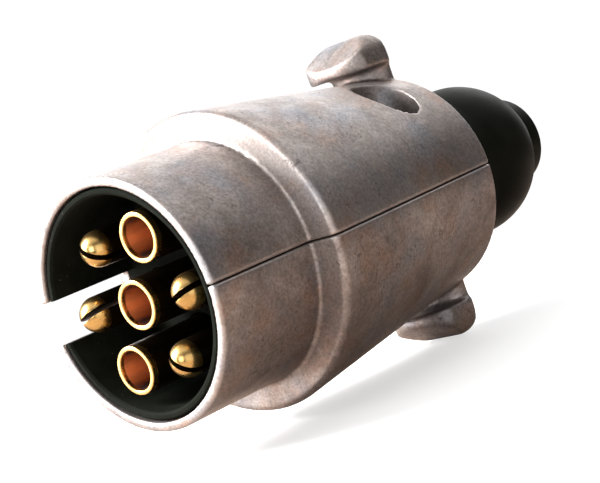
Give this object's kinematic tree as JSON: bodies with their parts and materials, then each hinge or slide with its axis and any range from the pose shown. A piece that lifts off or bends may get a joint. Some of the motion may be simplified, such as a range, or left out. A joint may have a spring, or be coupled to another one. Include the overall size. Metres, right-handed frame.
{
  "type": "trailer wiring connector",
  "caption": "Die-cast aluminium trailer plug in two half shells, with split brass pins, socket tubes, a keyway, two lugs and a rubber boot.",
  "frame": {"origin": "centre of the bounding box, on the mating axis", "axes": "+Y runs along the mating axis from the mating rim to the cable end, +Z is normal to the parting plane and points at the upper lug, and the keyway is on the -X side"},
  "size_m": [0.0448, 0.0852, 0.0474],
  "materials": {
    "cast_aluminium": "tarnished, as cast",
    "black_plastic": "matt",
    "brass": "polished",
    "plated_steel": "zinc plated",
    "black_rubber": "matt"
  },
  "bodies": {
    "root": {"lower_shell": "cast_aluminium", "contact_carrier": "black_plastic", "split_pin_right": "brass", "split_pin_top": "brass", "split_pin_keyway": "brass", "split_pin_bottom": "brass", "socket_tube_top": "brass", "socket_tube_centre": "brass", "socket_tube_bottom": "brass", "rubber_boot": "black_rubber"},
    "upper_shell": {"upper_shell": "cast_aluminium"},
    "housing_screw_left": {"housing_screw_left": "plated_steel"},
    "housing_screw_right": {"housing_screw_right": "plated_steel"},
    "clamp_bar": {"clamp_bar": "plated_steel"},
    "clamp_screw_left": {"clamp_screw_left": "plated_steel"},
    "clamp_screw_right": {"clamp_screw_right": "plated_steel"},
    "terminal_screw_right": {"terminal_screw_right": "plated_steel"},
    "terminal_screw_top": {"terminal_screw_top": "plated_steel"},
    "terminal_screw_keyway": {"terminal_screw_keyway": "plated_steel"},
    "terminal_screw_bottom": {"terminal_screw_bottom": "plated_steel"},
    "terminal_screw_tube_top": {"terminal_screw_tube_top": "plated_steel"},
    "terminal_screw_tube_centre": {"terminal_screw_tube_centre": "plated_steel"},
    "terminal_screw_tube_bottom": {"terminal_screw_tube_bottom": "plated_steel"}
  },
  "joints": [
    {"name": "upper_shell_lift", "type": "slide", "parent": "root", "child": "upper_shell", "axis": [0, 0, 1], "range_m": [0, 0.035]},
    {"name": "housing_screw_left_turn", "type": "hinge", "parent": "upper_shell", "child": "housing_screw_left", "pos_m": [-0.0108, 0.0061, 0.0057], "axis": [0, 0, 1], "continuous": true},
    {"name": "housing_screw_right_turn", "type": "hinge", "parent": "upper_shell", "child": "housing_screw_right", "pos_m": [0.0108, 0.0061, 0.0057], "axis": [0, 0, 1], "continuous": true},
    {"name": "terminal_screw_right_turn", "type": "hinge", "parent": "root", "child": "terminal_screw_right", "pos_m": [0.0137, -0.0108, -0.0004], "axis": [1, 0, 0], "continuous": true},
    {"name": "terminal_screw_top_turn", "type": "hinge", "parent": "root", "child": "terminal_screw_top", "pos_m": [-0.00685, -0.0108, 0.01146], "axis": [-0.5, 0, 0.866], "continuous": true},
    {"name": "terminal_screw_keyway_turn", "type": "hinge", "parent": "root", "child": "terminal_screw_keyway", "pos_m": [-0.0137, -0.0108, -0.0004], "axis": [-1, 0, 0], "continuous": true},
    {"name": "terminal_screw_bottom_turn", "type": "hinge", "parent": "root", "child": "terminal_screw_bottom", "pos_m": [0.00685, -0.0108, -0.01226], "axis": [0.5, 0, -0.866], "continuous": true},
    {"name": "terminal_screw_tube_top_turn", "type": "hinge", "parent": "root", "child": "terminal_screw_tube_top", "pos_m": [0.0071, -0.0108, 0.0119], "axis": [0.5, 0, 0.866], "continuous": true},
    {"name": "terminal_screw_tube_centre_turn", "type": "hinge", "parent": "root", "child": "terminal_screw_tube_centre", "pos_m": [-0.00381, -0.0108, 0.0018], "axis": [-0.866, 0, 0.5], "continuous": true},
    {"name": "terminal_screw_tube_bottom_turn", "type": "hinge", "parent": "root", "child": "terminal_screw_tube_bottom", "pos_m": [-0.0071, -0.0108, -0.0127], "axis": [-0.5, 0, -0.866], "continuous": true},
    {"name": "clamp_bar_travel", "type": "slide", "parent": "root", "child": "clamp_bar", "axis": [0, 0, 1], "range_m": [-0.003, 0]},
    {"name": "clamp_screw_left_turn", "type": "hinge", "parent": "clamp_bar", "child": "clamp_screw_left", "pos_m": [-0.009, -0.002, 0.0053], "axis": [0, 0, 1], "range_deg": [-2160, 0]},
    {"name": "clamp_screw_right_turn", "type": "hinge", "parent": "clamp_bar", "child": "clamp_screw_right", "pos_m": [0.009, -0.002, 0.0053], "axis": [0, 0, 1], "range_deg": [-2160, 0]}
  ],
  "couplings": [
    {"joint": "clamp_screw_left_turn", "follows": "clamp_bar_travel", "rad_per_m": 12566},
    {"joint": "clamp_screw_right_turn", "follows": "clamp_bar_travel", "rad_per_m": 12566}
  ]
}
